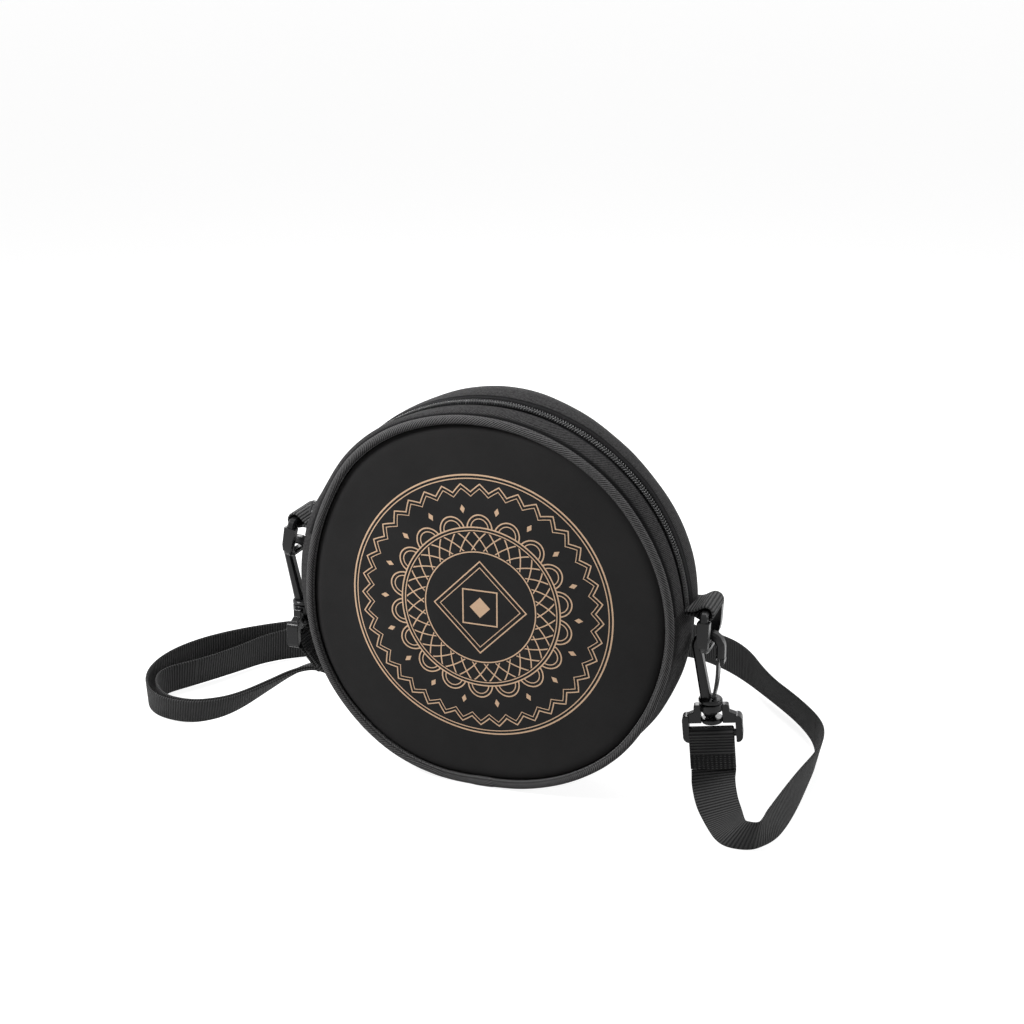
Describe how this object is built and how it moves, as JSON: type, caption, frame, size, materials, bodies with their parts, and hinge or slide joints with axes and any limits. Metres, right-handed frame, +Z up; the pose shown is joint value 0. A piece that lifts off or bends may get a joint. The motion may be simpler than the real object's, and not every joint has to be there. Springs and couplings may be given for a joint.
{
  "type": "circle bag",
  "caption": "Round zipped shoulder bag with piped padded faces, a gusset with a zip, webbing tabs with D-rings, and an adjustable webbing strap on swivel snap hooks.",
  "frame": {"origin": "on the floor under the middle of the bag with its tabs and rings, strap and hooks left out", "axes": "+Z up, the front face looks along -Y, +X to the right seen from the front"},
  "size_m": [0.4222, 0.2358, 0.2233],
  "materials": {
    "panel_cloth": "plain-woven printed cloth, matt",
    "back_cloth": "plain-woven cloth, matt",
    "foam": "soft foam sheet",
    "lining": "smooth plain lining",
    "piping": "herringbone tape over a cord",
    "gusset_cloth": "black cotton twill",
    "zip_tape": "woven zip tape",
    "zip_coil": "nylon coil, satin",
    "zip_metal": "black lacquered",
    "webbing": "ribbed webbing, matt",
    "black_plastic": "moulded, satin gloss"
  },
  "bodies": {
    "bag": {"front_panel": "panel_cloth", "front_foam": "foam", "front_lining": "lining", "back_panel": "back_cloth", "back_foam": "foam", "back_lining": "lining", "front_piping": "piping", "back_piping": "piping", "lower_gusset": "gusset_cloth", "lower_gusset_lining": "lining", "zip_strip_front": "gusset_cloth", "zip_strip_back": "gusset_cloth", "zip_tape_front": "zip_tape", "zip_tape_back": "zip_tape", "zip_coil_front": "zip_coil", "zip_coil_back": "zip_coil", "left_tab": "webbing", "right_tab": "webbing", "strap_main": "webbing", "strap_return": "webbing"},
    "slider": {"zip_slider": "zip_metal"},
    "pull": {"zip_pull": "zip_metal"},
    "right_ring": {"right_d_ring": "black_plastic"},
    "right_base": {"right_hook_base": "black_plastic", "strap_right_loop": "webbing"},
    "right_hook": {"right_hook": "black_plastic"},
    "right_gate": {"right_gate": "black_plastic"},
    "left_ring": {"left_d_ring": "black_plastic"},
    "left_base": {"left_hook_base": "black_plastic", "strap_left_loop": "webbing"},
    "left_hook": {"left_hook": "black_plastic"},
    "left_gate": {"left_gate": "black_plastic"},
    "glide": {"triglide": "black_plastic", "strap_glide_loop": "webbing"}
  },
  "joints": [
    {"name": "zip_run", "type": "hinge", "parent": "bag", "child": "slider", "pos_m": [-0.0009, 0, 0.11], "axis": [0, 1, 0], "range_deg": [0, 138]},
    {"name": "pull_flap", "type": "hinge", "parent": "slider", "child": "pull", "pos_m": [-0.10888, -0.00911, 0.15091], "axis": [0.1882, -0.9795, -0.0713], "range_deg": [0, 105]},
    {"name": "right_swing", "type": "hinge", "parent": "bag", "child": "right_base", "pos_m": [0.12234, 0, 0.11808], "axis": [0, -1, 0], "range_deg": [0, 60], "deforming": ["strap_main"]},
    {"name": "right_ring_turn", "type": "hinge", "parent": "bag", "child": "right_ring", "pos_m": [0.12234, 0, 0.11808], "axis": [0, -1, 0], "range_deg": [-4, 68]},
    {"name": "right_swivel", "type": "hinge", "parent": "right_base", "child": "right_hook", "pos_m": [0.12434, 0, 0.06468], "axis": [0, 0, 1], "range_deg": [-15, 15]},
    {"name": "right_gate_open", "type": "hinge", "parent": "right_hook", "child": "right_gate", "pos_m": [0.12607, 0, 0.06508], "axis": [0, -1, 0], "range_deg": [0, 15], "stiffness_Nm_per_rad": 0.05, "springref_deg": -11.46},
    {"name": "left_swing", "type": "hinge", "parent": "bag", "child": "left_base", "pos_m": [-0.12005, 0, 0.14248], "axis": [0, 1, 0], "range_deg": [0, 60], "deforming": ["strap_main", "strap_return"]},
    {"name": "left_ring_turn", "type": "hinge", "parent": "bag", "child": "left_ring", "pos_m": [-0.12005, 0, 0.14248], "axis": [0, 1, 0], "range_deg": [-4, 68]},
    {"name": "left_swivel", "type": "hinge", "parent": "left_base", "child": "left_hook", "pos_m": [-0.12262, 0, 0.08957], "axis": [0, 0, 1], "range_deg": [-15, 15]},
    {"name": "left_gate_open", "type": "hinge", "parent": "left_hook", "child": "left_gate", "pos_m": [-0.12089, 0, 0.08997], "axis": [0, -1, 0], "range_deg": [0, 15], "stiffness_Nm_per_rad": 0.05, "springref_deg": -11.46},
    {"name": "glide_slide", "type": "slide", "parent": "bag", "child": "glide", "axis": [-0.9877, -0.1561, 0], "range_m": [-0.025, 0.045], "deforming": ["strap_return"]}
  ],
  "couplings": [
    {"joint": "right_ring_turn", "follows": "right_swing", "ratio": 1},
    {"joint": "left_ring_turn", "follows": "left_swing", "ratio": 1}
  ]
}
